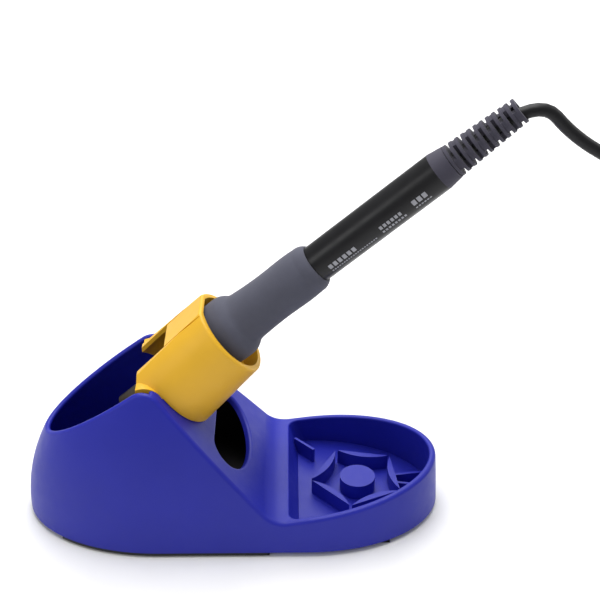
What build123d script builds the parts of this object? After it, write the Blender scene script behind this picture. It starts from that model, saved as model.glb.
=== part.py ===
from build123d import *
import math
import os

# Soldering iron stand with its iron docked. Millimetres, +Z up, +X towards the sponge tray.
# The origin is on the bench surface, under the middle of the centre foot strip.
# The iron's sizes run along its own axis, as stations: 0 is at the sloping face, + is up the iron.

# ---- Overall body: half-widths and ends at three levels, blended by a smooth loft ----
LEVELS = (0.0, 45.0, 90.0)
HALF_WIDTHS = (41.5, 34.6, 20.0)
LEFT_ENDS = (-106.5, -95.4, -55.3)
RIGHT_ENDS = (83.5, 80.5, 75.0)
LEFT_ROUND_START = -43.5
RIGHT_ROUND_START = 23.5

# ---- Levels of the underside ----
PLATE_BOTTOM = 0.9
SHELL_BOTTOM = 2.4
FOOT_RECESS = 1.0
CHAMBER_FLOOR = 9.6
FLOOR_THICKNESS = 3.8
TRAY_FLOOR = 4.8

# ---- Walls ----
WALL = 3.0
SLOPE_WALL = 3.0
DIVIDER_X = -41.0
DIVIDER_THICKNESS = 2.5
DIVIDER_TOP = 46.0
FIT_GAP = 0.3
LOOSE_GAP = 0.1
CLOSE_GAP = 0.05

# ---- Side profile ----
DOCK_X = -38.3
DOCK_Z = 70.0
IRON_TILT = 40.5
RIM_LEFT_X = -96.5
RIM_LEFT_Z = 43.0
RIM_SLOPE = 0.72
TRAY_RIM_X = 12.5
TRAY_RIM_Z = 17.2
TRAY_RIM_SLOPE = 0.1515
PEAK_RADIUS = 9.0
DECK_RADIUS = 12.0

# ---- Wire chamber mouth in the sloping face ----
MOUTH_HALF_WIDTH = 25.0
MOUTH_TOP = -31.0
MOUTH_BOTTOM = -54.0
MOUTH_CORNER = 9.0

# ---- Sponge tray ----
TRAY_LEFT_TOP = 14.2
TRAY_LEFT_DRAFT = 20.0
POST_X = 46.3
POST_RADIUS = 8.2
POST_HEIGHT = 7.6
RIB_COUNT = 5
RIB_RING_RADIUS = 22.0
RIB_RING_TURN = 43.0
RIB_GAP = 1.6
RIB_BULGE = 3.0
BRACE_SPREAD = 9.0
BRACE_THICKNESS = 1.2
BRACE_HEIGHT = 6.0
TRAY_CORNER = 4.0
GUSSET_X = 26.3
GUSSET_Y = 20.5
GUSSET_LENGTH = 13.0
GUSSET_TURN = 46.0

# ---- Iron sleeve ----
SLEEVE_TILT = 45.2
SLEEVE_DROP = 3.9
SLEEVE_BASE_RADIUS = 22.3
SLEEVE_TAPER = 0.057
SLEEVE_WALL = 2.5
SLEEVE_MOUTH = 35.3
EAR_LENGTH = 8.0
EAR_LEVEL = 2.0
EAR_END_X = -51.2
SADDLE_HALF_WIDTH = 20.6
SADDLE_LEVEL = 4.3
STRIP_HEIGHT = 18.6
STRIP_WALL = 1.8
SLOT_HALF_WIDTH = 9.6
SLOT_END = 14.0
GROOVE_WIDTH = 0.7
GROOVE_DEPTH = 0.7
SEAT_STATION = 26.6
SEAT_THICKNESS = 3.6
SEAT_HOLE_RADIUS = 11.5
# Rounded edges: places as distance up the slope and station, with a radius for each group.
SLEEVE_ROUNDS = (
    (((-21.4, SLEEVE_MOUTH), (17.7, SLEEVE_MOUTH)), 1.2),
    (((-26.4, 0.0),), 0.6),
)
SPIGOT_RADIUS = 18.7
SPIGOT_WALL = 2.2
SPIGOT_LENGTH = 4.5

# ---- Iron, stations along its axis ----
TIP_END = -42.0
TIP_CONE_END = -29.0
TIP_RADIUS = 3.1
TIP_SLEEVE_RADIUS = 4.6
TIP_POINT_RADIUS = 0.5
TIP_REAR = 5.0
HEATER_RADIUS = 1.95
HEATER_FRONT = -19.0
HEATER_REAR = 27.0
COLLAR_THICKNESS = 4.0
PIPE_FRONT = -26.0
PIPE_REAR = 12.8
PIPE_RADIUS = 5.7
PIPE_WALL = 0.5
PIPE_FLANGE = 1.6
NUT_FRONT = 8.5
NUT_REAR = 25.0
NUT_RADIUS = 8.6
NIPPLE_RADIUS = 7.0
NIPPLE_WALL = 1.8
NIPPLE_REAR = 34.0
GRIP_FRONT = 27.0
GRIP_REAR = 85.1
FLARE_RADIUS = 14.5
GRIP_FRONT_RADIUS = 11.4
GRIP_REAR_RADIUS = 10.7
HANDLE_FRONT = 35.0
HANDLE_REAR = 149.5
HANDLE_RADIUS = 8.35
HANDLE_BORE = 6.6
COLLAR_END = 155.0
COLLAR_RADIUS = 7.6
RELIEF_END = 190.0
RELIEF_START_RADIUS = 7.4
RELIEF_END_RADIUS = 5.6
RELIEF_RINGS = 12
RELIEF_ROOT_RADIUS = 5.6
RELIEF_ROOT = 147.5
BRIDGE_WIDTH = 5.0

# ---- Cord ----
CORD_DIAMETER = 5.5
CORD_RADIUS = CORD_DIAMETER / 2
CORD_ROOT = 130.0
CORD_START = 175.2
CORD_CORNER = 198.8
COIL_X = 229.0
COIL_MEAN_RADIUS = 33.0
COIL_COLUMNS = 2
COIL_LAYERS = 2
# Route of the free cord after the first corner, as X and Z in the middle plane of the stand.
HANGING_ROUTE = [(128.9, 181.4), (151.6, 168.8), (162.6, 134.4), (162.4, 88.4), (165.8, 42.5), (185.4, 2.75)]
CORD_SPLIT_RUN = 3
CORD_SPLIT_GAP = 0.3
# Route of the cord's end from the top of the coil's left side to the plug, lying beside the coil.
TAIL_ROUTE = [
    (193.25, 33.0, 13.9),
    (193.25, 11.0, 14.7),
    (193.25, -9.4, 11.2),
    (199.15, -19.6, 9.2),
    (209.4, -25.5, 8.25),
    (222.0, -25.5, 8.25),
]

# ---- Plug on the cord's far end ----
BOOT_LENGTH = 22.0
PLUG_SHELL_LENGTH = 20.0
PLUG_RING_LENGTH = 12.0
BOOT_GROOVES = 5
PLUG_SHELL_RADIUS = 7.2
PLUG_RING_RADIUS = 8.25
PLUG_RING_REACH = 2.0
PLUG_WALL = 1.0
PLUG_PINS = 5
PIN_PITCH = 60.0
PIN_CIRCLE_RADIUS = 3.2
PIN_RADIUS = 0.5
PIN_LENGTH = 5.0
INSERT_REAR = BOOT_LENGTH + 4.0
INSERT_FRONT = BOOT_LENGTH + 13.0
BOOT_START_RADIUS = CORD_RADIUS + 1.3
BOOT_END_RADIUS = PLUG_SHELL_RADIUS - 0.6
BOOT_PITCH = 2.8
BOOT_GROOVE_WIDTH = 1.2
BOOT_GROOVE_DEPTH = 0.8

# ---- Derived places ----
TILT = math.radians(IRON_TILT)
IRON_AXIS = Vector(math.cos(TILT), 0, math.sin(TILT))
UP_SLOPE = Vector(-math.sin(TILT), 0, math.cos(TILT))
DOCK = Vector(DOCK_X, 0, DOCK_Z)
IRON = Plane(origin=DOCK, x_dir=UP_SLOPE, z_dir=IRON_AXIS)
SLEEVE_ANGLE = math.radians(SLEEVE_TILT)
SLEEVE_AXIS = Vector(math.cos(SLEEVE_ANGLE), 0, math.sin(SLEEVE_ANGLE))
SLEEVE_UP = Vector(-math.sin(SLEEVE_ANGLE), 0, math.cos(SLEEVE_ANGLE))
SLEEVE = Plane(origin=DOCK - UP_SLOPE * SLEEVE_DROP, x_dir=SLEEVE_UP, z_dir=SLEEVE_AXIS)
PLUG = Plane(origin=TAIL_ROUTE[-1], x_dir=(0, 1, 0), z_dir=(1, 0, 0))
FAR = 400.0
RECESS_RIGHT = 1.5
MOUTH_DEPTH = 14.0
EDGE_RADIUS = 1.8
TRAY_EDGE_RADIUS = 0.8
WELL_EDGE_RADIUS = 1.2
MOUTH_EDGE_RADIUS = 1.2
TOUCH = 0.001
PLATE_INSET = 0.3
SCREW_HEAD_HEIGHT = 1.2
SCREW_SLOT = 0.7
CUP_WALL = 1.6
CUP_DROP = 2.0
NUT_FLUTES = 20
NUT_BAND = 1.5
FLUTE_RADIUS = 0.8
FLUTE_OFFSET = 0.3
BOARD_FRONT = 42.0
BOARD_REAR = 92.0
FLARE_END = 41.5
RELIEF_GAP = 0.35
RELIEF_RING_SHARE = 0.45
RECESS_TOP = CHAMBER_FLOOR - FLOOR_THICKNESS
PLATE_LEFT = -88.0
PLATE_RIGHT = 4.5
FOOT_PLACES = ((-81.0, 29.0), (0.0, 40.3), (54.0, 32.5))
FOOT_WIDTH = 11.0
SCREW_PLACES = ((-66.0, 24.0), (-66.0, -24.0), (-12.0, 30.0), (-12.0, -30.0))
SCREW_RADIUS = 1.4
SCREW_HEAD_RADIUS = 2.9
SCREW_TOP = 8.4


def at_station(station: float) -> Vector:
    """Point on the iron's axis."""
    return DOCK + IRON_AXIS * station


def block(low, high):
    """Box between two corners."""
    size = [b - a for a, b in zip(low, high)]
    middle = [(a + b) / 2 for a, b in zip(low, high)]
    return Pos(*middle) * Box(*size)


def outline(half_width: float, left_end: float, right_end: float):
    """Plan of the body at one level: two straight sides and two half-ellipse ends."""
    right_reach = right_end - RIGHT_ROUND_START
    left_reach = LEFT_ROUND_START - left_end
    front = Line((LEFT_ROUND_START, -half_width), (RIGHT_ROUND_START, -half_width))
    right = EllipticalCenterArc((RIGHT_ROUND_START, 0), right_reach, half_width, -90, arc_size=180)
    back = Line((RIGHT_ROUND_START, half_width), (LEFT_ROUND_START, half_width))
    left = EllipticalCenterArc((LEFT_ROUND_START, 0), left_reach, half_width, 90, arc_size=180)
    return make_face([front, right, back, left])


def body_form(inset: float):
    """Smooth body, set in from the outside by a wall."""
    sections = []
    for level, half_width, left_end, right_end in zip(LEVELS, HALF_WIDTHS, LEFT_ENDS, RIGHT_ENDS):
        plan = outline(half_width - inset, left_end + inset, right_end - inset)
        sections.append(Pos(0, 0, level) * plan)
    return loft(sections)


def above_slope(offset: float):
    """Everything on the outer side of a plane parallel to the sloping face."""
    return IRON * block((-FAR, -FAR, offset), (FAR, FAR, FAR))


def side_profile():
    """Prism of the body's side view: well rim, peak, sloping face, deck and rising tray rim."""
    fall = math.tan(math.pi / 2 - TILT)
    slope_at_zero = DOCK_Z + DOCK_X * fall
    peak_x = (slope_at_zero - RIM_LEFT_Z + RIM_SLOPE * RIM_LEFT_X) / (RIM_SLOPE + fall)
    tray_at_zero = TRAY_RIM_Z - TRAY_RIM_SLOPE * TRAY_RIM_X
    deck_x = (slope_at_zero - tray_at_zero) / (TRAY_RIM_SLOPE + fall)
    peak = (peak_x, slope_at_zero - fall * peak_x)
    deck = (deck_x, slope_at_zero - fall * deck_x)
    left_x = LEFT_ENDS[0] - WALL
    right_x = RIGHT_ENDS[0] + WALL
    face = make_face(
        Polyline(
            (left_x, SHELL_BOTTOM),
            (left_x, RIM_LEFT_Z + RIM_SLOPE * (left_x - RIM_LEFT_X)),
            peak,
            deck,
            (right_x, tray_at_zero + TRAY_RIM_SLOPE * right_x),
            (right_x, SHELL_BOTTOM),
            close=True,
        )
    )
    for corner, radius in ((peak, PEAK_RADIUS), (deck, DECK_RADIUS)):
        nearest = face.vertices().sort_by_distance(Vector(*corner, 0))[0]
        face = fillet(nearest, radius)
    return extrude(Plane.XZ * face, amount=FAR, both=True)


def chamber_space():
    """Well and wire chamber inside the walls, under the sloping face, with their divider left standing."""
    space = body_form(WALL) & block((-FAR, -FAR, CHAMBER_FLOOR), (FAR, FAR, FAR))
    space -= above_slope(-SLOPE_WALL)
    divider = block((DIVIDER_X, -FAR, 0), (DIVIDER_X + DIVIDER_THICKNESS, FAR, DIVIDER_TOP))
    return space - divider


def tray_space():
    """Sponge tray pocket, with a leaning wall on the deck side."""
    lean = math.radians(TRAY_LEFT_DRAFT)
    wall_plane = Plane(
        origin=(TRAY_LEFT_TOP, 0, TRAY_RIM_Z), x_dir=(0, 1, 0), z_dir=(math.cos(lean), 0, math.sin(lean))
    )
    space = body_form(WALL) & block((-FAR, -FAR, TRAY_FLOOR), (FAR, FAR, LEVELS[1]))
    space &= wall_plane * block((-FAR, -FAR, 0), (FAR, FAR, FAR))
    corners = space.edges().filter_by(lambda e: abs(e.tangent_at(0.5).Z) > 0.8)
    corners = corners.filter_by(lambda e: e.center().X < TRAY_LEFT_TOP + 8 and e.center().Z < 90)
    return fillet(corners, TRAY_CORNER)


def mouth_space():
    """Opening in the sloping face that the wire chamber is reached through."""
    shoulder = MOUTH_TOP - MOUTH_CORNER
    straight = MOUTH_HALF_WIDTH - MOUTH_CORNER
    face = make_face(
        [
            EllipticalCenterArc((shoulder, 0), shoulder - MOUTH_BOTTOM, MOUTH_HALF_WIDTH, 90, arc_size=180),
            CenterArc((shoulder, -straight), MOUTH_CORNER, -90, arc_size=90),
            Line((MOUTH_TOP, -straight), (MOUTH_TOP, straight)),
            CenterArc((shoulder, straight), MOUTH_CORNER, 0, arc_size=90),
        ]
    )
    return extrude(IRON * Pos(0, 0, -MOUTH_DEPTH) * face, amount=MOUTH_DEPTH + WALL)


def sleeve_cone(offset: float, back: float, front: float):
    """Body of revolution on the sleeve's axis, offset outwards from its outer surface."""
    start = SLEEVE_BASE_RADIUS - SLEEVE_TAPER * back + offset
    end = SLEEVE_BASE_RADIUS - SLEEVE_TAPER * front + offset
    return SLEEVE * Pos(0, 0, (back + front) / 2) * Cone(start, end, front - back)


def ear_zone(gap: float):
    """Space in front of the ears' upright ends and above their lower ends."""
    upright = block((EAR_END_X - gap, -FAR, -FAR), (FAR, FAR, FAR))
    return upright & (IRON * block((EAR_LEVEL - gap, -FAR, -EAR_LENGTH - gap), (FAR, FAR, FAR)))


def saddle(profile, gap: float):
    """Part of the ridge, between the two side walls, that the sleeve's foot takes the place of."""
    half_width = SADDLE_HALF_WIDTH + gap
    ridge = profile & (IRON * block((SADDLE_LEVEL - gap, -half_width, -EAR_LENGTH), (FAR, half_width, 1)))
    return ridge & ear_zone(gap)


def foot_strip(x: float, half_length: float, top: float):
    """One rubber strip across the underside."""
    return block((x - FOOT_WIDTH / 2, -half_length, 0), (x + FOOT_WIDTH / 2, half_length, top))


def tray_ribs(outside):
    """Post and ribs that hold the sponge up from the tray floor."""
    ribs = Pos(POST_X, 0, TRAY_FLOOR + POST_HEIGHT / 2) * Cylinder(POST_RADIUS, POST_HEIGHT)
    step = 360 / RIB_COUNT
    half_chord = RIB_RING_RADIUS * math.sin(math.radians(step / 2)) - RIB_GAP / 2
    chord_reach = RIB_RING_RADIUS * math.cos(math.radians(step / 2))
    lens = make_face(
        [
            Line((chord_reach, -half_chord), (chord_reach, half_chord)),
            ThreePointArc(
                (chord_reach, half_chord), (chord_reach - RIB_BULGE, 0), (chord_reach, -half_chord)
            ),
        ]
    )
    for number in range(RIB_COUNT):
        turn = RIB_RING_TURN + step * (number + 0.5)
        ribs += extrude(Pos(POST_X, 0, TRAY_FLOOR) * Rot(0, 0, turn) * lens, amount=POST_HEIGHT)
    for spread in (-BRACE_SPREAD, BRACE_SPREAD):
        brace = block(
            (chord_reach - 0.5, -BRACE_THICKNESS / 2, TRAY_FLOOR),
            (RIGHT_ENDS[0] - POST_X, BRACE_THICKNESS / 2, TRAY_FLOOR + BRACE_HEIGHT),
        )
        ribs += Pos(POST_X, 0, 0) * Rot(0, 0, spread) * brace
    gusset = block(
        (-GUSSET_LENGTH, -BRACE_THICKNESS / 2, TRAY_FLOOR), (0, BRACE_THICKNESS / 2, TRAY_FLOOR + POST_HEIGHT)
    )
    ribs += Pos(GUSSET_X, GUSSET_Y, 0) * Rot(0, 0, -GUSSET_TURN) * gusset
    return ribs & outside


def rim_edges(body, space, skin):
    """Edges where a space opens through the body's upper surfaces."""
    found = ShapeList()
    for edge in body.edges():
        point = edge.position_at(0.37)
        if space.distance_to(point) < TOUCH and min(face.distance_to(point) for face in skin) < TOUCH:
            found.append(edge)
    return found


def upper_skin(profile):
    """Faces of the side-view prism that form the body's upper surfaces."""
    faces = profile.faces().filter_by(lambda face: face.center().Z > TRAY_FLOOR)
    return faces.filter_by(lambda face: abs(face.normal_at(None).Z) > 0.1)


def rounded_outside(profile):
    """Body inside the side-view prism, with its upper edges rounded."""
    outside = body_form(0) & profile
    skin = upper_skin(profile)
    upper = ShapeList()
    for edge in outside.edges():
        points = [edge.position_at(share) for share in (0.23, 0.71)]
        across = edge.geom_type == GeomType.LINE
        if not across and all(min(face.distance_to(p) for face in skin) < TOUCH for p in points):
            upper.append(edge)
    return fillet(upper, EDGE_RADIUS)


def base_shell():
    """Moulded blue body."""
    profile = side_profile()
    skin = upper_skin(profile)
    outside = rounded_outside(profile)
    body = outside - chamber_space() - tray_space()
    for space, radius in ((tray_space(), TRAY_EDGE_RADIUS), (chamber_space(), WELL_EDGE_RADIUS)):
        body = fillet(rim_edges(body, space, skin), radius)
    mouth = mouth_space()
    body -= mouth
    body = fillet(rim_edges(body, mouth, skin), MOUTH_EDGE_RADIUS)
    body -= SLEEVE * Pos(0, 0, -15) * Cylinder(SPIGOT_RADIUS + LOOSE_GAP, 50)
    body -= sleeve_cone(FIT_GAP, -14, 12) & ear_zone(FIT_GAP)
    body -= saddle(profile, FIT_GAP)
    body -= body_form(WALL) & block((-FAR, -FAR, 0), (RECESS_RIGHT, FAR, RECESS_TOP))
    for x, y in SCREW_PLACES:
        body -= Pos(x, y, SCREW_TOP / 2) * Cylinder(SCREW_RADIUS + CLOSE_GAP, SCREW_TOP + FIT_GAP)
    tray_foot = FOOT_PLACES[-1]
    body -= foot_strip(*tray_foot, SHELL_BOTTOM + FOOT_RECESS)
    return body + tray_ribs(outside)


def bottom_plate():
    """Black plate that closes the underside below the well and the wire chamber."""
    plate = body_form(PLATE_INSET) & block((PLATE_LEFT, -FAR, PLATE_BOTTOM), (PLATE_RIGHT, FAR, SHELL_BOTTOM))
    for x, half_length in FOOT_PLACES[:-1]:
        plate -= foot_strip(x, half_length, PLATE_BOTTOM + FOOT_RECESS)
    for x, y in SCREW_PLACES:
        head_top = PLATE_BOTTOM + SCREW_HEAD_HEIGHT
        plate -= Pos(x, y, 0) * Cylinder(SCREW_HEAD_RADIUS + LOOSE_GAP, 2 * head_top)
        plate -= Pos(x, y, SHELL_BOTTOM / 2) * Cylinder(SCREW_RADIUS + CLOSE_GAP, SHELL_BOTTOM + 1)
    return plate


def ballast_plate():
    """Steel plate in the recess above the bottom plate, which keeps the stand from tipping."""
    ballast = body_form(WALL + FIT_GAP) & block(
        (PLATE_LEFT, -FAR, SHELL_BOTTOM), (RECESS_RIGHT - FIT_GAP, FAR, RECESS_TOP - FIT_GAP)
    )
    for x, y in SCREW_PLACES:
        ballast -= Pos(x, y, SHELL_BOTTOM) * Cylinder(SCREW_RADIUS + FIT_GAP, 2 * RECESS_TOP)
    return ballast


def bottom_screws():
    """Four screws up through the plates into the body's floor."""
    screws = []
    for x, y in SCREW_PLACES:
        head = Cylinder(SCREW_HEAD_RADIUS, SCREW_HEAD_HEIGHT)
        head = Pos(0, 0, PLATE_BOTTOM + SCREW_HEAD_HEIGHT / 2) * head
        shank = Pos(0, 0, (PLATE_BOTTOM + SCREW_TOP) / 2) * Cylinder(SCREW_RADIUS, SCREW_TOP - PLATE_BOTTOM)
        slot = Pos(0, 0, PLATE_BOTTOM) * Box(SCREW_SLOT, SCREW_HEAD_RADIUS * 1.2, SCREW_HEAD_HEIGHT)
        cross = Pos(0, 0, PLATE_BOTTOM) * Box(SCREW_HEAD_RADIUS * 1.2, SCREW_SLOT, SCREW_HEAD_HEIGHT)
        screws.append(Pos(x, y, 0) * (head + shank - slot - cross))
    return Compound(children=screws)


def rubber_feet():
    """Three rubber strips across the underside, let into the plate and the tray floor."""
    strips = [foot_strip(x, half_length, PLATE_BOTTOM + FOOT_RECESS) for x, half_length in FOOT_PLACES[:-1]]
    strips.append(foot_strip(*FOOT_PLACES[-1], SHELL_BOTTOM + FOOT_RECESS))
    return Compound(children=strips)


def wire_cup():
    """Black tub that lines the wire chamber, open towards the sloping face."""
    gap = WALL + FIT_GAP
    left = DIVIDER_X + DIVIDER_THICKNESS + FIT_GAP
    cup = body_form(gap) & block((left, -FAR, CHAMBER_FLOOR), (FAR, FAR, DIVIDER_TOP - CUP_DROP))
    cup -= above_slope(-SLOPE_WALL - FIT_GAP)
    hollow = body_form(gap + CUP_WALL) & block(
        (left + CUP_WALL, -FAR, CHAMBER_FLOOR + CUP_WALL), (FAR, FAR, FAR)
    )
    return cup - hollow


def iron_sleeve():
    """Yellow sleeve over the peak: tapered shell, flat strip on top, two ears, inner seat and spigot."""
    shell_length = (-15, 55)
    strip_cut = SLEEVE * block((STRIP_HEIGHT, -FAR, -FAR), (FAR, FAR, FAR))
    strip_inner_cut = SLEEVE * block((STRIP_HEIGHT - STRIP_WALL, -FAR, -FAR), (FAR, FAR, FAR))
    outer = sleeve_cone(0, *shell_length) - strip_cut
    inner = sleeve_cone(-SLEEVE_WALL, *shell_length) - strip_inner_cut
    body = IRON * block((-FAR, -FAR, 0), (FAR, FAR, SLEEVE_MOUTH))
    ears = ear_zone(0) & (IRON * block((0, -FAR, -FAR), (FAR, FAR, 1)))
    shell = (outer - inner) & (body + ears)
    shell += saddle(side_profile(), 0) - sleeve_cone(-SLEEVE_WALL, *shell_length)
    seat = IRON * Pos(0, 0, SEAT_STATION - SEAT_THICKNESS / 2) * Cylinder(FAR / 4, SEAT_THICKNESS)
    seat &= outer
    base = IRON * block((-FAR, -FAR, 0), (EAR_LEVEL, FAR, SPIGOT_WALL))
    base &= outer
    spigot = SLEEVE * Cylinder(SPIGOT_RADIUS, 3 * SPIGOT_LENGTH)
    spigot &= IRON * block((-FAR, -FAR, -SPIGOT_LENGTH), (EAR_LEVEL, FAR, SPIGOT_WALL))
    solid = shell + seat + base + spigot
    solid -= SLEEVE * Cylinder(SPIGOT_RADIUS - SPIGOT_WALL, 4 * SPIGOT_LENGTH)
    solid -= IRON * Pos(0, 0, SEAT_STATION) * Cylinder(SEAT_HOLE_RADIUS, 4 * SEAT_THICKNESS)
    for group, radius in SLEEVE_ROUNDS:
        spots = [DOCK + UP_SLOPE * up + IRON_AXIS * station for up, station in group]
        solid = fillet(ShapeList([solid.edges().sort_by_distance(spot)[0] for spot in spots]), radius)
    solid -= SLEEVE * block((0, -SLOT_HALF_WIDTH, -FAR), (FAR, SLOT_HALF_WIDTH, SLOT_END))
    for side in (-1, 1):
        middle = side * (SLOT_HALF_WIDTH - GROOVE_WIDTH / 2)
        solid -= SLEEVE * block(
            (STRIP_HEIGHT - GROOVE_DEPTH, middle - GROOVE_WIDTH / 2, -FAR),
            (FAR, middle + GROOVE_WIDTH / 2, FAR),
        )
    return solid


def turned(points):
    """Ring turned about the iron's axis from station and radius pairs."""
    profile = make_face(Polyline(*[(radius, 0, station) for station, radius in points], close=True))
    return IRON * revolve(profile, Axis.Z)


def tube(front, rear, outer, inner=0.0):
    """Plain turned tube or rod on the iron's axis."""
    length = rear - front
    body = Cylinder(outer, length)
    if inner:
        body -= Cylinder(inner, length + 1)
    return IRON * Pos(0, 0, (front + rear) / 2) * body


def soldering_tip():
    """Conical tip on a hollow shank that slides over the heater."""
    tip = turned(
        [
            (TIP_END, 0),
            (TIP_END, TIP_POINT_RADIUS),
            (TIP_CONE_END, TIP_RADIUS),
            (PIPE_FRONT + 2.2, TIP_RADIUS),
            (PIPE_FRONT + 2.2, TIP_SLEEVE_RADIUS),
            (TIP_REAR, TIP_SLEEVE_RADIUS),
            (TIP_REAR, 0),
        ]
    )
    return tip - tube(HEATER_FRONT - 0.5, TIP_REAR + 1, HEATER_RADIUS + LOOSE_GAP)


def heating_element():
    """Ceramic heater rod with its collar."""
    rod = tube(HEATER_FRONT, HEATER_REAR, HEATER_RADIUS)
    collar_front = PIPE_REAR + 2 * LOOSE_GAP
    return rod + tube(collar_front, collar_front + COLLAR_THICKNESS, NIPPLE_RADIUS - NIPPLE_WALL - LOOSE_GAP)


def enclosure_pipe():
    """Steel pipe that holds the tip on the heater."""
    pipe = tube(PIPE_FRONT, PIPE_REAR, PIPE_RADIUS, PIPE_RADIUS - PIPE_WALL)
    lip = tube(PIPE_FRONT, PIPE_FRONT + 1.5, PIPE_RADIUS, TIP_RADIUS + LOOSE_GAP)
    flange = tube(PIPE_REAR - PIPE_FLANGE, PIPE_REAR, NIPPLE_RADIUS - LOOSE_GAP, PIPE_RADIUS - PIPE_WALL)
    return pipe + lip + flange


def nut():
    """Knurled nut that clamps the pipe's flange on the nipple."""
    body = tube(NUT_FRONT, NUT_REAR, NUT_RADIUS, NIPPLE_RADIUS + CLOSE_GAP)
    body += tube(NUT_FRONT, PIPE_REAR - PIPE_FLANGE - CLOSE_GAP, NUT_RADIUS, PIPE_RADIUS + LOOSE_GAP)
    middle = Pos(0, 0, (NUT_FRONT + NUT_REAR) / 2)
    flute = Pos(NUT_RADIUS + FLUTE_OFFSET, 0, 0) * Cylinder(FLUTE_RADIUS, NUT_REAR - NUT_FRONT - 2 * NUT_BAND)
    for number in range(NUT_FLUTES):
        body -= IRON * middle * Rot(0, 0, 360 / NUT_FLUTES * number) * flute
    return body


def nipple():
    """Plastic sleeve that joins the nut to the handle."""
    return tube(PIPE_REAR + LOOSE_GAP, NIPPLE_REAR, NIPPLE_RADIUS, NIPPLE_RADIUS - NIPPLE_WALL)


def grounding_spring():
    """Split spring ring behind the nipple."""
    ring = tube(NIPPLE_REAR + 2, NIPPLE_REAR + 4, HANDLE_BORE - LOOSE_GAP, HANDLE_BORE - 1.1)
    return ring - IRON * block((0, -1.5, NIPPLE_REAR), (FAR, 1.5, NIPPLE_REAR + 6))


def terminal_board():
    """Small circuit board in the handle that the cord's wires are soldered to."""
    return IRON * block((-0.8, -5, BOARD_FRONT), (0.8, 5, BOARD_REAR))


def grip():
    """Soft grip with a flared finger guard, over the front of the handle."""
    outside = [
        (GRIP_FRONT, FLARE_RADIUS - 1.5),
        (GRIP_FRONT + 3, FLARE_RADIUS - 0.4),
        (FLARE_END - 5, FLARE_RADIUS),
        (FLARE_END - 1.5, FLARE_RADIUS - 0.3),
        (FLARE_END + 0.7, FLARE_RADIUS - 1.3),
        (FLARE_END + 2.5, GRIP_FRONT_RADIUS + 0.6),
        (FLARE_END + 5.5, GRIP_FRONT_RADIUS),
        (GRIP_REAR - 22, GRIP_REAR_RADIUS + 0.1),
        (GRIP_REAR - 5, GRIP_REAR_RADIUS),
    ]
    bore = HANDLE_RADIUS + CLOSE_GAP
    curve = Spline(*[(radius, 0, station) for station, radius in outside])
    end = ThreePointArc(
        (GRIP_REAR_RADIUS, 0, GRIP_REAR - 5),
        (GRIP_REAR_RADIUS - 0.7, 0, GRIP_REAR - 1.4),
        (bore + 0.6, 0, GRIP_REAR),
    )
    inside = Polyline(
        (bore + 0.6, 0, GRIP_REAR),
        (bore, 0, GRIP_REAR),
        (bore, 0, HANDLE_FRONT),
        (NIPPLE_RADIUS + FIT_GAP, 0, HANDLE_FRONT),
        (NIPPLE_RADIUS + FIT_GAP, 0, GRIP_FRONT),
        (outside[0][1], 0, GRIP_FRONT),
    )
    return IRON * revolve(make_face([curve, end, inside]), Axis.Z)


def handle():
    """Black tubular handle."""
    return turned(
        [
            (HANDLE_FRONT, HANDLE_BORE),
            (HANDLE_FRONT, HANDLE_RADIUS),
            (HANDLE_REAR, HANDLE_RADIUS),
            (HANDLE_REAR, RELIEF_ROOT_RADIUS + CLOSE_GAP),
            (RELIEF_ROOT, RELIEF_ROOT_RADIUS + CLOSE_GAP),
            (RELIEF_ROOT, HANDLE_BORE),
        ]
    )


def cord_stopper():
    """Clamp ring that keeps a pull on the cord off the board."""
    return tube(RELIEF_ROOT - 9, RELIEF_ROOT - 4, HANDLE_BORE - FIT_GAP, CORD_RADIUS + CLOSE_GAP)


def relief_radius(station: float) -> float:
    """Outer radius of the strain relief at a station."""
    share = (station - COLLAR_END) / (RELIEF_END - COLLAR_END)
    return RELIEF_START_RADIUS + (RELIEF_END_RADIUS - RELIEF_START_RADIUS) * share


def strain_relief():
    """Rubber relief: a row of rings joined by bridges that alternate by a quarter turn."""
    bore = CORD_RADIUS + RELIEF_GAP
    pitch = (RELIEF_END - COLLAR_END) / RELIEF_RINGS
    ring_length = pitch * RELIEF_RING_SHARE
    relief = tube(RELIEF_ROOT, COLLAR_END + ring_length, RELIEF_ROOT_RADIUS, bore)
    for number in range(RELIEF_RINGS):
        rear = COLLAR_END + pitch * (number + 1)
        front = rear - ring_length
        relief += tube(front, rear, relief_radius(rear), bore)
        bridge = tube(max(front - pitch, COLLAR_END), rear, relief_radius(rear) - 0.3, bore)
        across = Box(BRIDGE_WIDTH, FAR, 4 * pitch) if number % 2 else Box(FAR, BRIDGE_WIDTH, 4 * pitch)
        relief += bridge & (IRON * Pos(0, 0, front) * across)
    collar = turned(
        [
            (HANDLE_REAR, bore),
            (HANDLE_REAR, HANDLE_RADIUS),
            (COLLAR_END, COLLAR_RADIUS),
            (COLLAR_END + ring_length, RELIEF_START_RADIUS),
            (COLLAR_END + ring_length, bore),
        ]
    )
    return relief + collar


def cord_root():
    """Straight end of the cord, from the board through the clamp into the relief."""
    return tube(CORD_ROOT, CORD_START, CORD_RADIUS)


def cord_route():
    """All points of the free cord from inside the relief to the coil."""
    route = [at_station(CORD_START), at_station(CORD_CORNER)]
    route += [Vector(x, 0, z) for x, z in HANGING_ROUTE]
    floor_end = COIL_X - math.sqrt(coil_outer() ** 2 - COIL_MEAN_RADIUS**2)
    return route + [Vector(floor_end + CORD_DIAMETER, 0, CORD_RADIUS)]


def coil_outer() -> float:
    """Outer radius of the coil."""
    return COIL_MEAN_RADIUS + COIL_COLUMNS * CORD_RADIUS


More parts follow.
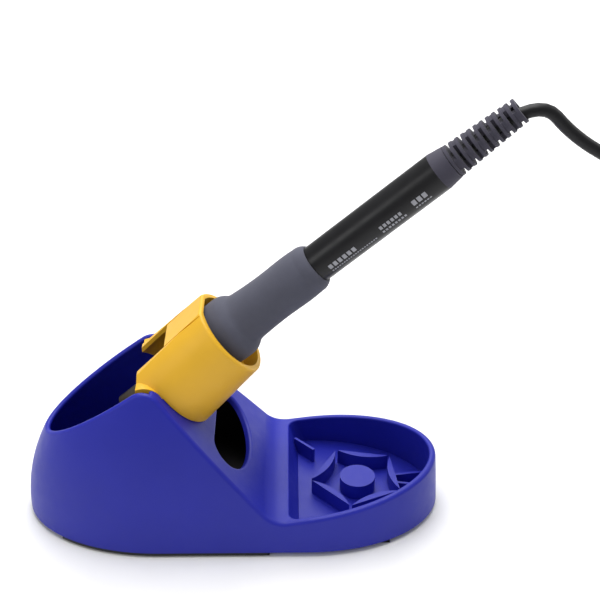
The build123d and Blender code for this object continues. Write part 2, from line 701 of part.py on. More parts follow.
def corner_radius(before: Vector, corner: Vector, after: Vector) -> float:
    """Largest arc that both runs beside a corner allow."""
    arriving = corner - before
    leaving = after - corner
    half_turn = math.radians(arriving.get_angle(leaving)) / 2
    return 0.45 * min(arriving.length, leaving.length) / math.tan(half_turn)


def cord_tube(points):
    """Round cord along straight runs joined by arcs."""
    radii = [corner_radius(*points[i : i + 3]) for i in range(len(points) - 2)]
    print("cord radii", [round(radius, 1) for radius in radii])
    path = FilletPolyline(*points, radius=radii)
    section = Plane(origin=points[0], z_dir=points[1] - points[0]) * Circle(CORD_RADIUS)
    solid = sweep(section, path=path)
    expected = math.pi * CORD_RADIUS**2 * path.length
    print("cord length", round(path.length, 1), "volume ratio", round(solid.volume / expected, 4))
    return solid


def split_point(route):
    """Middle of the hanging run where the iron's part of the cord meets the stand's part."""
    return (route[CORD_SPLIT_RUN] + route[CORD_SPLIT_RUN + 1]) / 2


def cord_upper():
    """Part of the cord that travels with the iron."""
    route = cord_route()
    return cord_tube(route[: CORD_SPLIT_RUN + 1] + [split_point(route)])


def cord_lower():
    """Part of the cord that comes down to the bench and runs into the coil."""
    route = cord_route()
    start = split_point(route)
    start += (route[CORD_SPLIT_RUN + 1] - start).normalized() * CORD_SPLIT_GAP
    return cord_tube([start] + route[CORD_SPLIT_RUN + 1 :]) - cord_coil()


def cord_coil():
    """Outer shape of the coil that the rest of the cord is put away in."""
    height = COIL_LAYERS * CORD_DIAMETER
    ring = Cylinder(coil_outer(), height) - Cylinder(coil_outer() - COIL_COLUMNS * CORD_DIAMETER, height + 1)
    return Pos(COIL_X, COIL_MEAN_RADIUS, height / 2) * ring


def cord_tail():
    """End of the cord, from the top of the coil over the cord on the bench to the plug."""
    return cord_tube([Vector(*point) for point in TAIL_ROUTE])


def plug_tube(back, front, outer, inner=0.0):
    """Round piece on the plug's axis."""
    body = Cylinder(outer, front - back)
    if inner:
        body -= Cylinder(inner, front - back + 1)
    return PLUG * Pos(0, 0, (back + front) / 2) * body


def connector_boot():
    """Tapered rubber boot at the back of the plug, with grooves that let it bend."""
    boot = PLUG * Pos(0, 0, BOOT_LENGTH / 2) * Cone(BOOT_START_RADIUS, BOOT_END_RADIUS, BOOT_LENGTH)
    for number in range(BOOT_GROOVES):
        place = BOOT_PITCH * (number + 1)
        radius = BOOT_START_RADIUS + (BOOT_END_RADIUS - BOOT_START_RADIUS) * place / BOOT_LENGTH
        groove = plug_tube(place, place + BOOT_GROOVE_WIDTH, PLUG_SHELL_RADIUS, radius - BOOT_GROOVE_DEPTH)
        boot -= groove
    return boot


def connector_shell():
    """Metal barrel of the plug."""
    front = BOOT_LENGTH + PLUG_SHELL_LENGTH
    return plug_tube(BOOT_LENGTH, front, PLUG_SHELL_RADIUS, PLUG_SHELL_RADIUS - PLUG_WALL)


def connector_ring():
    """Locking ring round the barrel's front."""
    front = BOOT_LENGTH + PLUG_SHELL_LENGTH + PLUG_RING_REACH
    return plug_tube(front - PLUG_RING_LENGTH, front, PLUG_RING_RADIUS, PLUG_SHELL_RADIUS + CLOSE_GAP)


def connector_insert():
    """Insulating insert that carries the pins."""
    return plug_tube(INSERT_REAR, INSERT_FRONT, PLUG_SHELL_RADIUS - PLUG_WALL - CLOSE_GAP)


def connector_pins():
    """Contact pins on a circle."""
    pins = []
    for number in range(PLUG_PINS):
        turn = Rot(0, 0, PIN_PITCH * (number + 0.5))
        pin = Pos(PIN_CIRCLE_RADIUS, 0, INSERT_FRONT + PIN_LENGTH / 2) * Cylinder(PIN_RADIUS, PIN_LENGTH)
        pins.append(PLUG * turn * pin)
    return Compound(children=pins)


NODES = (
    base_shell, bottom_plate, ballast_plate, bottom_screws, rubber_feet, wire_cup, iron_sleeve,
    soldering_tip, heating_element, enclosure_pipe, nut, nipple, grounding_spring, terminal_board,
    grip, handle, cord_stopper, strain_relief, cord_root, cord_upper,
    cord_lower, cord_coil, cord_tail, connector_boot, connector_shell, connector_ring,
    connector_insert, connector_pins,
)

os.makedirs("parts", exist_ok=True)
for node in NODES:
    export_step(node(), f"parts/{node.__name__}.step")
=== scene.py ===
"""Bench stand for a soldering iron, with the iron docked in its sleeve.

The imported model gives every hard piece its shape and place. This script gives each of them its
finish, lays the cord, prints the plain marks on the handle, and sets up the floor, light and camera.
Sizes are in metres and the frame is the model's own: +X towards the sponge tray, +Z up.
"""

from __future__ import annotations

import logging
import math
from dataclasses import dataclass
from enum import Enum

import bpy
from mathutils import Matrix, Vector

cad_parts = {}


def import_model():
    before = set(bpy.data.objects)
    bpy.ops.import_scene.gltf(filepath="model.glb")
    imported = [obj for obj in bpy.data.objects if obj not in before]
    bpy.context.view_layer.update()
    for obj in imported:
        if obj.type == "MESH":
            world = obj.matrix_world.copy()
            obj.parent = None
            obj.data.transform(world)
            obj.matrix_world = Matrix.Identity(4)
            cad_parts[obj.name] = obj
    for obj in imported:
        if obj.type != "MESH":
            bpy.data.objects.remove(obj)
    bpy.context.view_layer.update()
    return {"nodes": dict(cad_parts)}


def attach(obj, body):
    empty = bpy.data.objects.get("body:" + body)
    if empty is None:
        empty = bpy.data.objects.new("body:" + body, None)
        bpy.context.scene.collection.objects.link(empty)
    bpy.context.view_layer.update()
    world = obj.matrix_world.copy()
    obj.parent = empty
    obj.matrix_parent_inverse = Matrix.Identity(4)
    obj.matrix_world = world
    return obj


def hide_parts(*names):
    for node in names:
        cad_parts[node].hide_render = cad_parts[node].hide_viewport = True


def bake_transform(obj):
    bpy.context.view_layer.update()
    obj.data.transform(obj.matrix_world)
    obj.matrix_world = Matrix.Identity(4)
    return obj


LOG = logging.getLogger("iron_stand")
MM = 0.001


class Body(Enum):
    """The two bodies of the model."""

    STAND = "stand"
    IRON = "iron"


class MetalKind(Enum):
    """How a metal's surface was made."""

    ROLLED = "rolled"
    TURNED = "turned"
    PLATED = "plated"


@dataclass(frozen=True)
class IronLine:
    """The iron's axis, along which stations are measured in millimetres.

    Station 0 is on the stand's sloping face, and stations rise towards the cord.
    """

    dock: tuple[float, float, float] = (-38.3, 0.0, 70.0)
    tilt: float = math.radians(40.5)

    def along(self) -> Vector:
        """Unit vector up the axis."""
        return Vector((math.cos(self.tilt), 0.0, math.sin(self.tilt)))

    def up_slope(self) -> Vector:
        """Unit vector up the sloping face, square to the axis."""
        return Vector((-math.sin(self.tilt), 0.0, math.cos(self.tilt)))

    def at(self, station: float) -> Vector:
        """Point on the axis.

        Args:
            station: Distance from the sloping face, in millimetres.

        Returns:
            The point, in metres.
        """
        return (Vector(self.dock) + self.along() * station) * MM

    def matrix(self, station: float) -> Matrix:
        """Placement whose Z runs up the axis and whose X runs up the sloping face.

        Args:
            station: Where on the axis its origin is, in millimetres.

        Returns:
            A 4 by 4 placement, in metres.
        """
        side = self.along().cross(self.up_slope())
        turn = Matrix((self.up_slope(), side, self.along())).transposed()
        return Matrix.Translation(self.at(station)) @ turn.to_4x4()


AXIS = IronLine()


def linear(code: str) -> tuple[float, float, float, float]:
    """Turns an sRGB hex colour to the linear values that shaders take.

    Args:
        code: Six hex digits, with or without a leading #.

    Returns:
        Red, green, blue and alpha.
    """
    code = code.lstrip("#")
    values = [int(code[i : i + 2], 16) / 255 for i in (0, 2, 4)]
    made = [v / 12.92 if v <= 0.04045 else ((v + 0.055) / 1.055) ** 2.4 for v in values]
    return (made[0], made[1], made[2], 1.0)


def add_node(
    tree: bpy.types.NodeTree, kind: str, settings: dict | None = None, links: dict | None = None
) -> bpy.types.Node:
    """Adds one shader node, sets it up and links its inputs.

    Args:
        tree: The material's node tree.
        kind: Blender's name for the node's type.
        settings: Attribute names, or "in:NAME" for an input's own value, with their values.
        links: Input names or numbers, with the output socket that feeds each.

    Returns:
        The new node.
    """
    node = tree.nodes.new(kind)
    for key, value in (settings or {}).items():
        if key.startswith("in:"):
            node.inputs[key[3:]].default_value = value
        else:
            setattr(node, key, value)
    for key, source in (links or {}).items():
        tree.links.new(source, node.inputs[key])
    return node


def fresh_material(name: str) -> tuple[bpy.types.Material, bpy.types.Node, bpy.types.NodeSocket]:
    """Starts a material with a Principled shader and object coordinates.

    Args:
        name: The material's name.

    Returns:
        The material, its shader, and the socket that gives object coordinates.
    """
    material = bpy.data.materials.new(name)
    material.use_nodes = True
    tree = material.node_tree
    tree.nodes.clear()
    shader = add_node(tree, "ShaderNodeBsdfPrincipled")
    add_node(tree, "ShaderNodeOutputMaterial", links={"Surface": shader.outputs["BSDF"]})
    coordinates = add_node(tree, "ShaderNodeTexCoord")
    return material, shader, coordinates.outputs["Object"]


def ramp(
    tree: bpy.types.NodeTree, source: bpy.types.NodeSocket, stops: list[tuple[float, tuple]]
) -> bpy.types.NodeSocket:
    """Colour ramp over a value.

    Args:
        tree: The material's node tree.
        source: The value from 0 to 1.
        stops: Positions with their linear colours, from low to high.

    Returns:
        The ramp's colour socket.
    """
    node = add_node(tree, "ShaderNodeValToRGB", links={"Fac": source})
    elements = node.color_ramp.elements
    while len(elements) < len(stops):
        elements.new(0.5)
    for element, (position, colour) in zip(elements, stops):
        element.position = position
        element.color = colour
    return node.outputs["Color"]


def grey(value: float) -> tuple[float, float, float, float]:
    """A linear grey for ramps that drive roughness."""
    return (value, value, value, 1.0)


def shade_of(colour: tuple, factor: float) -> tuple[float, float, float, float]:
    """A lighter or darker version of a linear colour."""
    return (colour[0] * factor, colour[1] * factor, colour[2] * factor, 1.0)


@dataclass(frozen=True)
class MouldedPlastic:
    """Injection-moulded ABS with a spark-eroded grain from its mould.

    The grain spreads the highlight into a broad satin glow, and the resin's own colour shows a faint
    cloudiness and fine rubbing marks.
    """

    name: str
    colour: str
    roughness: float = 0.42
    grain_mm: float = 0.35
    grain_depth_mm: float = 0.018
    cloud_mm: float = 38.0
    cloud: float = 0.05
    ior: float = 1.53
    shine: float = 0.3

    def make(self) -> bpy.types.Material:
        """Builds the material.

        Returns:
            The finished material.
        """
        material, shader, coordinates = fresh_material(self.name)
        tree = material.node_tree
        base = linear(self.colour)
        clouds = add_node(
            tree,
            "ShaderNodeTexNoise",
            {"in:Scale": 1 / (self.cloud_mm * MM), "in:Detail": 3.0, "in:Roughness": 0.55},
            {"Vector": coordinates},
        )
        tint = ramp(
            tree,
            clouds.outputs["Fac"],
            [(0.3, shade_of(base, 1 - self.cloud)), (0.7, shade_of(base, 1 + self.cloud))],
        )
        tree.links.new(tint, shader.inputs["Base Color"])
        scuffs = add_node(
            tree,
            "ShaderNodeTexNoise",
            {"in:Scale": 1 / (6 * MM), "in:Detail": 5.0, "in:Roughness": 0.7},
            {"Vector": coordinates},
        )
        gloss = ramp(
            tree,
            scuffs.outputs["Fac"],
            [(0.35, grey(self.roughness - 0.04)), (0.7, grey(self.roughness + 0.05))],
        )
        tree.links.new(gloss, shader.inputs["Roughness"])
        grain = add_node(
            tree,
            "ShaderNodeTexNoise",
            {"in:Scale": 1 / (self.grain_mm * MM), "in:Detail": 2.0},
            {"Vector": coordinates},
        )
        bump = add_node(
            tree,
            "ShaderNodeBump",
            {"in:Strength": 0.6, "in:Distance": self.grain_depth_mm * MM},
            {"Height": grain.outputs["Fac"]},
        )
        tree.links.new(bump.outputs["Normal"], shader.inputs["Normal"])
        shader.inputs["IOR"].default_value = self.ior
        shader.inputs["Specular IOR Level"].default_value = self.shine
        return material


@dataclass(frozen=True)
class Elastomer:
    """Moulded silicone or thermoplastic rubber.

    It is nearly matt, with a soft edge glow from the dusty skin that rubber takes on, and a slightly
    pebbled surface that holds lint.
    """

    name: str
    colour: str
    roughness: float = 0.72
    pebble_mm: float = 0.5
    pebble_depth_mm: float = 0.03
    dust: float = 0.12
    ior: float = 1.45

    def make(self) -> bpy.types.Material:
        """Builds the material.

        Returns:
            The finished material.
        """
        material, shader, coordinates = fresh_material(self.name)
        tree = material.node_tree
        base = linear(self.colour)
        patches = add_node(
            tree,
            "ShaderNodeTexNoise",
            {"in:Scale": 1 / (11 * MM), "in:Detail": 4.0, "in:Roughness": 0.6},
            {"Vector": coordinates},
        )
        tint = ramp(
            tree,
            patches.outputs["Fac"],
            [(0.3, shade_of(base, 0.94)), (0.72, shade_of(base, 1.08))],
        )
        tree.links.new(tint, shader.inputs["Base Color"])
        pebbles = add_node(
            tree,
            "ShaderNodeTexVoronoi",
            {"in:Scale": 1 / (self.pebble_mm * MM)},
            {"Vector": coordinates},
        )
        bump = add_node(
            tree,
            "ShaderNodeBump",
            {"in:Strength": 0.5, "in:Distance": self.pebble_depth_mm * MM},
            {"Height": pebbles.outputs["Distance"]},
        )
        tree.links.new(bump.outputs["Normal"], shader.inputs["Normal"])
        shader.inputs["Roughness"].default_value = self.roughness
        shader.inputs["IOR"].default_value = self.ior
        shader.inputs["Specular IOR Level"].default_value = 0.35
        shader.inputs["Sheen Weight"].default_value = self.dust
        shader.inputs["Sheen Roughness"].default_value = 0.5
        return material


@dataclass(frozen=True)
class Metal:
    """Bare, plated or oxidised metal.

    Rolled sheet shows short streaks one way, turned parts show rings round their axis, and plating
    shows only faint haze.
    """

    name: str
    colour: str
    kind: MetalKind
    roughness: float = 0.32
    streak_mm: float = 0.25
    depth_mm: float = 0.01

    def make(self) -> bpy.types.Material:
        """Builds the material.

        Returns:
            The finished material.
        """
        material, shader, coordinates = fresh_material(self.name)
        tree = material.node_tree
        base = linear(self.colour)
        stretch = {
            MetalKind.ROLLED: (0.06, 1.0, 1.0),
            MetalKind.TURNED: (0.05, 0.05, 1.0),
            MetalKind.PLATED: (1.0, 1.0, 1.0),
        }[self.kind]
        turn = (0.0, AXIS.tilt - math.pi / 2, 0.0) if self.kind is MetalKind.TURNED else (0.0, 0.0, 0.0)
        placed = add_node(
            tree,
            "ShaderNodeMapping",
            {"vector_type": "POINT", "in:Rotation": turn, "in:Scale": stretch},
            {"Vector": coordinates},
        )
        streaks = add_node(
            tree,
            "ShaderNodeTexNoise",
            {"in:Scale": 1 / (self.streak_mm * MM), "in:Detail": 3.0},
            {"Vector": placed.outputs["Vector"]},
        )
        haze = add_node(
            tree,
            "ShaderNodeTexNoise",
            {"in:Scale": 1 / (9 * MM), "in:Detail": 4.0},
            {"Vector": coordinates},
        )
        tint = ramp(
            tree, haze.outputs["Fac"], [(0.3, shade_of(base, 0.86)), (0.7, shade_of(base, 1.05))]
        )
        tree.links.new(tint, shader.inputs["Base Color"])
        gloss = ramp(
            tree,
            haze.outputs["Fac"],
            [(0.3, grey(self.roughness + 0.08)), (0.7, grey(self.roughness - 0.06))],
        )
        tree.links.new(gloss, shader.inputs["Roughness"])
        bump = add_node(
            tree,
            "ShaderNodeBump",
            {"in:Strength": 0.4, "in:Distance": self.depth_mm * MM},
            {"Height": streaks.outputs["Fac"]},
        )
        tree.links.new(bump.outputs["Normal"], shader.inputs["Normal"])
        shader.inputs["Metallic"].default_value = 1.0
        return material


@dataclass(frozen=True)
class HeatedSteel:
    """Steel or iron plating that has been hot.

    Its colour runs along the iron from one station to another, from bright through straw and brown.
    """

    name: str
    stops: tuple[tuple[float, str], ...]
    roughness: float = 0.38

    def make(self) -> bpy.types.Material:
        """Builds the material.

        Returns:
            The finished material.
        """
        material, shader, coordinates = fresh_material(self.name)
        tree = material.node_tree
        low, high = self.stops[0][0], self.stops[-1][0]
        placed = add_node(
            tree,
            "ShaderNodeMapping",
            {
                "vector_type": "TEXTURE",
                "in:Location": AXIS.at(low),
                "in:Rotation": (0.0, -AXIS.tilt, 0.0),
                "in:Scale": ((high - low) * MM,) * 3,
            },
            {"Vector": coordinates},
        )
        parts = add_node(tree, "ShaderNodeSeparateXYZ", links={"Vector": placed.outputs["Vector"]})
        mottle = add_node(
            tree,
            "ShaderNodeTexNoise",
            {"in:Scale": 1 / (2.5 * MM), "in:Detail": 5.0, "in:Roughness": 0.65},
            {"Vector": coordinates},
        )
        wander = add_node(
            tree,
            "ShaderNodeMath",
            {"operation": "MULTIPLY_ADD", "use_clamp": True},
            {0: mottle.outputs["Fac"], 2: parts.outputs["X"]},
        )
        wander.inputs[1].default_value = 0.08
        stops = [((s - low) / (high - low), linear(c)) for s, c in self.stops]
        tint = ramp(tree, wander.outputs["Value"], stops)
        tree.links.new(tint, shader.inputs["Base Color"])
        gloss = ramp(
            tree,
            mottle.outputs["Fac"],
            [(0.3, grey(self.roughness - 0.1)), (0.7, grey(self.roughness + 0.12))],
        )
        tree.links.new(gloss, shader.inputs["Roughness"])
        shader.inputs["Metallic"].default_value = 1.0
        return material


BLUE_ABS = MouldedPlastic("blue_abs_moulded", "#1B229C", roughness=0.44, grain_mm=0.4)
YELLOW_PBT = MouldedPlastic("yellow_heatproof_plastic", "#E3AF2B", roughness=0.4, grain_mm=0.45)
BLACK_ABS = MouldedPlastic("black_abs_moulded", "#141417", roughness=0.36, grain_mm=0.3, cloud=0.1)
HANDLE_NYLON = MouldedPlastic(
    "black_nylon_satin", "#0F0F12", roughness=0.34, grain_mm=0.25, grain_depth_mm=0.01, cloud=0.08
)
GRIP_SILICONE = Elastomer("grey_grip_silicone", "#4E4F5C", roughness=0.8, dust=0.1, pebble_mm=0.45)
RELIEF_RUBBER = Elastomer("relief_rubber", "#3F3D4A", roughness=0.66, dust=0.08, pebble_mm=0.35)
FOOT_RUBBER = Elastomer("foot_rubber", "#101012", roughness=0.85)
JACKET = Elastomer("cord_jacket_silicone", "#0D0D10", roughness=0.45, pebble_mm=0.7, dust=0.03)
ZINC_SHEET = Metal("zinc_plated_sheet", "#B4B7BC", MetalKind.ROLLED, roughness=0.4)
SCREW_ZINC = Metal("screw_zinc_plating", "#A3A6AA", MetalKind.PLATED, roughness=0.35)
NICKEL = Metal("nickel_plated_barrel", "#C9C6C0", MetalKind.PLATED, roughness=0.24)
GOLD_FLASH = Metal("gold_flashed_pins", "#E2BD6A", MetalKind.PLATED, roughness=0.25)
NUT_OXIDE = Metal("oxidised_nut", "#3A3A3D", MetalKind.TURNED, roughness=0.42)
SPRING_STEEL = Metal("spring_steel", "#9A9CA0", MetalKind.TURNED, roughness=0.3)
PIPE_STAINLESS = HeatedSteel(
    "stainless_heat_tinted",
    ((-27.0, "#4A4038"), (-12.0, "#6A635A"), (8.0, "#8C8A86")),
)
TIP_PLATING = HeatedSteel(
    "tip_iron_plating",
    ((-43.0, "#D6D8DA"), (-39.5, "#C9CBCD"), (-37.5, "#3D352E"), (-26.0, "#574A3E"), (5.0, "#7A7268")),
    roughness=0.42,
)
HEATER_CERAMIC = MouldedPlastic(
    "alumina_ceramic", "#DAD6CB", roughness=0.55, grain_mm=0.2, grain_depth_mm=0.01, ior=1.76
)
BOARD_MASK = MouldedPlastic(
    "board_solder_mask", "#1C5A33", roughness=0.28, grain_mm=0.8, grain_depth_mm=0.01, ior=1.56
)
PAD_PRINT = MouldedPlastic(
    "pad_print_ink", "#9C9DA4", roughness=0.5, grain_mm=0.15, grain_depth_mm=0.004, cloud=0.12
)

# Each modelled node with its finish.
NODE_FINISH: dict[str, object] = {
    "base_shell": BLUE_ABS,
    "bottom_plate": BLACK_ABS,
    "ballast_plate": ZINC_SHEET,
    "bottom_screws": SCREW_ZINC,
    "rubber_feet": FOOT_RUBBER,
    "wire_cup": BLACK_ABS,
    "iron_sleeve": YELLOW_PBT,
    "soldering_tip": TIP_PLATING,
    "heating_element": HEATER_CERAMIC,
    "enclosure_pipe": PIPE_STAINLESS,
    "nut": NUT_OXIDE,
    "nipple": HANDLE_NYLON,
    "grounding_spring": SPRING_STEEL,
    "terminal_board": BOARD_MASK,
    "grip": GRIP_SILICONE,
    "handle": HANDLE_NYLON,
    "cord_stopper": BLACK_ABS,
    "strain_relief": RELIEF_RUBBER,
    "cord_root": JACKET,
    "connector_boot": RELIEF_RUBBER,
    "connector_shell": NICKEL,
    "connector_ring": NICKEL,
    "connector_insert": BLACK_ABS,
    "connector_pins": GOLD_FLASH,
}


class Finishes:
    """Makes each finish once and hands it out."""

    def __init__(self) -> None:
        """Starts with no materials made."""
        self._made: dict[str, bpy.types.Material] = {}

    def get(self, finish: object) -> bpy.types.Material:
        """The material of a finish.

        Args:
            finish: One of the finishes above.

        Returns:
            Its material, made on first use.
        """
        if finish.name not in self._made:
            self._made[finish.name] = finish.make()
        return self._made[finish.name]

    def dress(self, piece: bpy.types.Object, finish: object) -> None:
        """Puts a finish on a piece's material slots.

        Args:
            piece: A modelled node or a new piece.
            finish: The finish to put on.
        """
        material = self.get(finish)
        if not piece.material_slots:
            piece.data.materials.append(material)
        for place in piece.material_slots:
            place.material = material
        LOG.info("%s is finished in %s", piece.name, material.name)


def nothing_selected() -> None:
    """Clears the selection, so that an operator acts only on what comes next."""
    for each in bpy.context.selected_objects:
        each.select_set(False)


@dataclass
class Studio:
    """Pale floor, soft light and the camera."""

    target: tuple[float, float, float] = (0.01942, 0.0, 0.10761)
    distance: float = 0.51393
    azimuth: float = -0.63
    elevation: float = 30.1
    lens: float = 72.0
    floor_size: float = 9.0
    sky_strength: float = 0.42
    # Name, place, aim, size and power of each soft light.
    lights: tuple = (
        ("overhead", (-0.05, 0.15, 0.95), (0.0, 0.0, 0.06), 0.8, 8.5),
        ("left_front", (-0.80, -0.60, 0.60), (0.0, 0.0, 0.08), 0.5, 1.6),
        ("right_back", (0.80, 0.35, 0.60), (0.05, 0.0, 0.08), 0.5, 1.2),
        ("far_floor", (0.0, 1.15, 0.90), (0.0, 1.25, 0.0), 1.4, 12.0),
    )

    def build(self) -> None:
        """Makes the camera, the floor, the lights and the sky."""
        scene = bpy.context.scene
        scene.view_settings.view_transform = "Standard"
        turn, rise = math.radians(self.azimuth), math.radians(self.elevation)
        back = Vector(
            (math.sin(turn) * math.cos(rise), -math.cos(turn) * math.cos(rise), math.sin(rise))
        )
        camera = bpy.data.objects.new("camera", bpy.data.cameras.new("camera"))
        camera.data.lens = self.lens
        camera.data.sensor_width = 36.0
        camera.data.clip_start = 0.01
        camera.data.clip_end = 50.0
        camera.rotation_mode = "QUATERNION"
        camera.location = Vector(self.target) + back * self.distance
        camera.rotation_quaternion = (-back).to_track_quat("-Z", "Y")
        scene.collection.objects.link(camera)
        scene.camera = camera
        self._floor()
        for name, place, aim, size, power in self.lights:
            lamp = bpy.data.lights.new(name, "AREA")
            lamp.shape = "DISK"
            lamp.size = size
            lamp.energy = power
            light = bpy.data.objects.new(name, lamp)
            light.location = place
            toward = Vector(aim) - Vector(place)
            light.rotation_euler = toward.to_track_quat("-Z", "Y").to_euler()
            scene.collection.objects.link(light)
        world = bpy.data.worlds.new("soft_room")
        world.use_nodes = True
        sky = world.node_tree.nodes["Background"]
        sky.inputs["Color"].default_value = (1.0, 1.0, 1.0, 1.0)
        sky.inputs["Strength"].default_value = self.sky_strength
        scene.world = world
        LOG.info("camera, floor and %d lights are set up", len(self.lights))

    def _floor(self) -> None:
        """Large pale floor."""
        nothing_selected()
        bpy.ops.mesh.primitive_plane_add(size=self.floor_size, location=(0.0, 0.0, 0.0))
        floor = bpy.context.active_object
        floor.name = "floor"
        material, shader, coordinates = fresh_material("pale_paper")
        tree = material.node_tree
        fibres = add_node(
            tree,
            "ShaderNodeTexNoise",
            {"in:Scale": 1 / (40 * MM), "in:Detail": 3.0},
            {"Vector": coordinates},
        )
        tint = ramp(
            tree, fibres.outputs["Fac"], [(0.3, linear("#F1F1F2")), (0.7, linear("#F4F4F4"))]
        )
        tree.links.new(tint, shader.inputs["Base Color"])
        shader.inputs["Roughness"].default_value = 0.85
        floor.data.materials.append(material)


@dataclass
class Cord:
    """The iron's cord, from its strain relief to the coil on the bench and the plug.

    The route's points are those of the model's tube, and the coil's turns follow on.
    """

    diameter_mm: float = 5.5
    length: float = 1.0
    inner_start: float = 175.2
    first_corner: float = 198.8
    exit_station: float = 190.0
    hanging: tuple = (
        (128.9, 181.4),
        (151.6, 168.8),
        (162.6, 134.4),
        (162.4, 88.4),
        (165.8, 42.5),
        (185.4, 2.75),
    )
    coil_centre: tuple[float, float] = (229.0, 33.0)
    inner_column: float = 30.25
    outer_column: float = 35.75
    low_layer: float = 2.75
    high_layer: float = 8.25
    top_layer: float = 13.75
    points_per_turn: int = 16
    turns: float = 2.75
    entry: tuple = ((200.5, 0.45), (214.5, 1.0))
    tail: tuple = (
        (193.25, 11.0, 14.7),
        (193.25, -9.4, 11.2),
        (199.15, -19.6, 9.2),
        (209.4, -25.5, 8.25),
        (222.0, -25.5, 8.25),
    )
    # Turn counts with the column and layer that the cord has reached there.
    lay: tuple = (
        (0.0, "outer", "low"),
        (0.8, "outer", "low"),
        (1.0, "inner", "low"),
        (1.45, "inner", "low"),
        (1.6, "inner", "high"),
        (1.8, "outer", "high"),
        (2.5, "outer", "high"),
        (2.75, "outer", "top"),
    )
    bend_start: tuple[float, float, float] = (0.150, 0.0, 0.172)
    bend_end: tuple[float, float, float] = (0.166, 0.0, 0.030)

    def _place(self, turn: float) -> Vector:
        """Control point of the coil.

        Args:
            turn: Turns since the cord reached the coil.

        Returns:
            The point, in millimetres.
        """
        columns = {"inner": self.inner_column, "outer": self.outer_column}
        layers = {"low": self.low_layer, "high": self.high_layer, "top": self.top_layer}
        radius, height = self.outer_column, self.low_layer
        for (start, column, layer), (end, next_column, next_layer) in zip(self.lay, self.lay[1:]):
            if start <= turn <= end:
                share = (turn - start) / (end - start)
                share = share * share * (3 - 2 * share)
                radius = columns[column] + (columns[next_column] - columns[column]) * share
                height = layers[layer] + (layers[next_layer] - layers[layer]) * share
                break
        # The smooth line runs a little inside its control points, so they stand out by as much.
        radius /= (1 + math.cos(math.pi / self.points_per_turn)) / 2
        angle = 2 * math.pi * turn - math.pi / 2
        return Vector(
            (
                self.coil_centre[0] + radius * math.cos(angle),
                self.coil_centre[1] + radius * math.sin(angle),
                height,
            )
        )

    def route(self) -> list[Vector]:
        """Control points from the relief to the plug.

        Returns:
            The points, in metres.
        """
        made = [AXIS.at(self.inner_start) / MM, AXIS.at(self.first_corner) / MM]
        made += [Vector((x, 0.0, z)) for x, z in self.hanging]
        drift = self.coil_centre[1] - self.outer_column
        made += [Vector((x, drift * share, self.low_layer)) for x, share in self.entry]
        count = round(self.turns * self.points_per_turn)
        made += [self._place(self.turns * number / count) for number in range(count + 1)]
        made += [Vector(place) for place in self.tail]
        return [point * MM for point in made]

    def _curve(self, name: str, bevel: float) -> bpy.types.Object:
        """NURBS curve through the route.

        Args:
            name: The curve's name.
            bevel: Radius of the round section in metres, or 0 for a bare line.

        Returns:
            The curve object, linked to the scene.
        """
        data = bpy.data.curves.new(name, "CURVE")
        data.dimensions = "3D"
        data.resolution_u = 8
        data.bevel_depth = bevel
        data.bevel_resolution = 6
        data.use_fill_caps = bevel > 0
        spline = data.splines.new("NURBS")
        route = self.route()
        spline.points.add(len(route) - 1)
        for point, place in zip(spline.points, route):
            point.co = (*place, 1.0)
        spline.order_u = 3
        spline.use_endpoint_u = True
        made = bpy.data.objects.new(name, data)
        bpy.context.scene.collection.objects.link(made)
        return made

    def _mesh_of(self, curve: bpy.types.Object) -> bpy.types.Mesh:
        """Mesh of a curve as it is drawn."""
        bpy.context.view_layer.update()
        graph = bpy.context.evaluated_depsgraph_get()
        return bpy.data.meshes.new_from_object(curve.evaluated_get(graph))

    def build(self, finishes: Finishes, nodes: dict) -> bpy.types.Object:
        """Makes the cord, from the iron to the stand.

        Args:
            finishes: Where the materials come from.
            nodes: The modelled nodes by name. Not used.

        Returns:
            The cord's piece.
        """
        line = self._curve("cord_line", 0.0)
        path = [tuple(v.co) for v in self._mesh_of(line).vertices]
        skin = self._curve("cord_skin", self.diameter_mm * MM / 2)
        cord = bpy.data.objects.new("cord", self._mesh_of(skin))
        bpy.context.scene.collection.objects.link(cord)
        for curve in (line, skin):
            bpy.data.objects.remove(curve)
        for face in cord.data.polygons:
            face.use_smooth = True
        finishes.dress(cord, JACKET)
        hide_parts("cord_upper", "cord_lower", "cord_coil", "cord_tail")
        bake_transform(cord)
        LOG.info("cord is laid with %d route points", len(self.route()))
        return cord


@dataclass(frozen=True)
class MarkRow:
    """One row of plain printed blocks along the handle, in millimetres and degrees."""

    first: float
    last: float
    angle: float
    height: float
    block: float
    gap: float


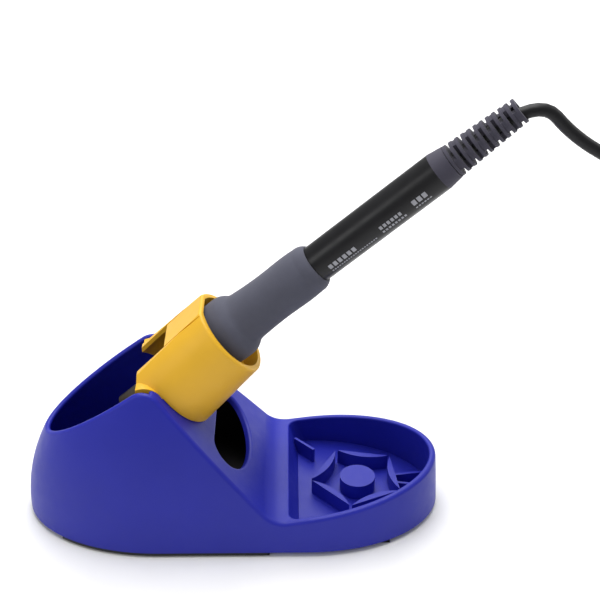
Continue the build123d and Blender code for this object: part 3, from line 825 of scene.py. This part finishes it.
@dataclass
class HandleMarks:
    """Plain pad-printed rows of blocks on the handle's lower front, with no letters in them."""

    handle_radius_mm: float = 8.35
    stand_off_mm: float = 0.02
    skin_sides: int = 144
    rows: tuple[MarkRow, ...] = (
        MarkRow(90.5, 105.5, 100.0, 2.0, 1.7, 0.75),
        MarkRow(90.5, 114.5, 117.0, 0.7, 0.7, 0.5),
        MarkRow(117.5, 130.0, 97.0, 1.7, 1.3, 0.65),
        MarkRow(117.5, 130.0, 114.0, 1.2, 1.0, 0.6),
        MarkRow(134.5, 142.5, 96.0, 2.4, 1.9, 0.7),
        MarkRow(134.5, 142.5, 115.0, 0.9, 0.9, 0.5),
    )

    def _row(self, number: int, row: MarkRow) -> bpy.types.Object:
        """One row, cut from a thin round skin over the handle.

        Args:
            number: The row's number, for its name.
            row: Its place and sizes.

        Returns:
            The row's object, with its place in its mesh.
        """
        radius = (self.handle_radius_mm + self.stand_off_mm) * MM
        pitch = row.block + row.gap
        count = int((row.last - row.first + row.gap) / pitch)
        half = row.height * MM / radius / 2
        blocks = []
        for place in range(count):
            nothing_selected()
            middle = row.first + row.block / 2 + pitch * place
            bpy.ops.mesh.primitive_cylinder_add(
                vertices=self.skin_sides,
                radius=radius,
                depth=row.block * MM,
                end_fill_type="NOTHING",
            )
            block = bpy.context.active_object
            bpy.ops.object.mode_set(mode="EDIT")
            for edge, sign in ((-half, 1.0), (half, -1.0)):
                turn = math.radians(row.angle) + edge
                bpy.ops.mesh.select_all(action="SELECT")
                normal = (-math.sin(turn) * sign, math.cos(turn) * sign, 0.0)
                bpy.ops.mesh.bisect(plane_co=(0.0, 0.0, 0.0), plane_no=normal, clear_inner=True)
            bpy.ops.object.mode_set(mode="OBJECT")
            block.data.transform(AXIS.matrix(middle))
            blocks.append(block)
        nothing_selected()
        for block in blocks:
            block.select_set(True)
        bpy.context.view_layer.objects.active = blocks[0]
        bpy.ops.object.join()
        made = bpy.context.active_object
        made.name = f"handle_mark_{number}"
        for face in made.data.polygons:
            face.use_smooth = True
        return made

    def build(self, finishes: Finishes) -> None:
        """Makes all the rows and fixes them to the iron.

        Args:
            finishes: Where the materials come from.
        """
        for number, row in enumerate(self.rows, 1):
            made = self._row(number, row)
            finishes.dress(made, PAD_PRINT)
            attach(made, Body.IRON.value)
            LOG.info("%s is on the handle", made.name)


def main() -> None:
    """Builds everything in order."""
    logging.basicConfig(level=logging.INFO, format="%(message)s")
    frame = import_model()
    Studio().build()
    finishes = Finishes()
    Cord().build(finishes, frame["nodes"])
    for name, finish in NODE_FINISH.items():
        finishes.dress(frame["nodes"][name], finish)
    HandleMarks().build(finishes)


if __name__ == "__main__":
    main()
